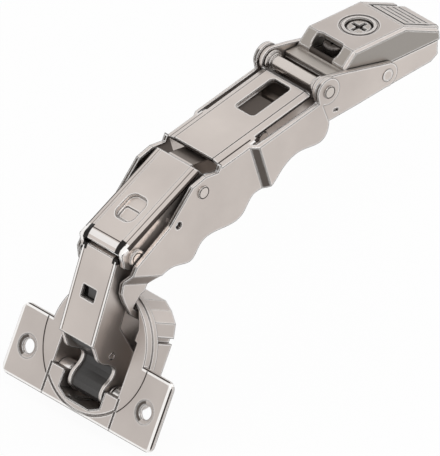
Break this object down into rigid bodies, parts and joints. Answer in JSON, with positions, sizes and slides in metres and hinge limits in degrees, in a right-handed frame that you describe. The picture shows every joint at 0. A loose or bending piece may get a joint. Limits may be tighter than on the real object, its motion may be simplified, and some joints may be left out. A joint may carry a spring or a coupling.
{
  "type": "concealed cabinet hinge",
  "caption": "Wide-angle concealed cabinet hinge: drilled-in cup with flange, folding sheet-metal levers, crank links and a clip-on arm with adjusting screws.",
  "frame": {"origin": "middle of the flat seat under the arm, where it rests on its mounting plate", "axes": "+X along the arm to its rear, +Z away from the cabinet side, +Y across the hinge"},
  "size_m": [0.1233, 0.0572, 0.0818],
  "materials": {
    "steel": "nickel-plated, satin",
    "cast": "nickel-plated die casting, satin",
    "pin": "plated, smooth",
    "screw": "plated",
    "black": "black plastic",
    "grey_plastic": "dark grey plastic"
  },
  "bodies": {
    "arm": {"arm_channel": "steel", "arm_cover": "cast", "clip_pin": "pin"},
    "depth_screw": {"depth_screw": "screw"},
    "side_screw": {"side_screw": "screw"},
    "clip_lever": {"clip_lever": "cast"},
    "middle": {"middle_lever": "steel", "base_pin": "pin", "cross_pin": "pin", "head_pin": "pin"},
    "main": {"main_lever": "steel", "crank_pin": "pin", "finger_pin": "pin"},
    "sleeve": {"crank_sleeve": "pin"},
    "crank": {"crank_plate_left": "steel", "crank_plate_right": "steel", "crank_studs": "pin"},
    "link": {"link_channel": "steel", "damper_housing": "black"},
    "damper_switch": {"damper_switch": "grey_plastic"},
    "cup": {"cup": "cast", "cup_link_pin": "pin", "closing_spring": "pin"}
  },
  "joints": [
    {"name": "fold", "type": "hinge", "parent": "arm", "child": "middle", "pos_m": [-0.0431, 0, -0.00425], "axis": [0, 1, 0], "range_deg": [0, 132.99]},
    {"name": "main_fold", "type": "hinge", "parent": "middle", "child": "main", "pos_m": [-0.069, 0, -0.0082], "axis": [0, 1, 0], "range_deg": [-109, 0]},
    {"name": "crank_fold", "type": "hinge", "parent": "main", "child": "crank", "pos_m": [-0.0256, 0, 0.0057], "axis": [0, 1, 0], "range_deg": [0, 114.1]},
    {"name": "link_fold", "type": "hinge", "parent": "middle", "child": "link", "pos_m": [-0.0907, 0, -0.0205], "axis": [0, 1, 0], "range_deg": [-87, 0]},
    {"name": "cup_fold", "type": "hinge", "parent": "link", "child": "cup", "pos_m": [-0.09612, 0, -0.06138], "axis": [0, 1, 0], "range_deg": [0, 109]},
    {"name": "sleeve_roll", "type": "hinge", "parent": "main", "child": "sleeve", "pos_m": [-0.0256, 0, 0.0057], "axis": [0, 1, 0], "continuous": true},
    {"name": "depth_turn", "type": "hinge", "parent": "arm", "child": "depth_screw", "pos_m": [-0.0033, 0, 0.008], "axis": [0, 0, 1], "continuous": true},
    {"name": "side_turn", "type": "hinge", "parent": "arm", "child": "side_screw", "pos_m": [-0.0116, 0, 0.008], "axis": [0, 0, 1], "continuous": true},
    {"name": "release", "type": "hinge", "parent": "arm", "child": "clip_lever", "pos_m": [0.0094, 0, 0.0075], "axis": [0, 1, 0], "range_deg": [-14, 0]},
    {"name": "damper_slide", "type": "slide", "parent": "link", "child": "damper_switch", "axis": [0, 1, 0], "range_m": [0, 0.001]}
  ],
  "couplings": [
    {"joint": "main_fold", "follows": "fold", "ratio": -0.81953},
    {"joint": "crank_fold", "follows": "fold", "ratio": 0.85728},
    {"joint": "link_fold", "follows": "fold", "ratio": -0.65381},
    {"joint": "cup_fold", "follows": "fold", "ratio": 0.81931}
  ]
}
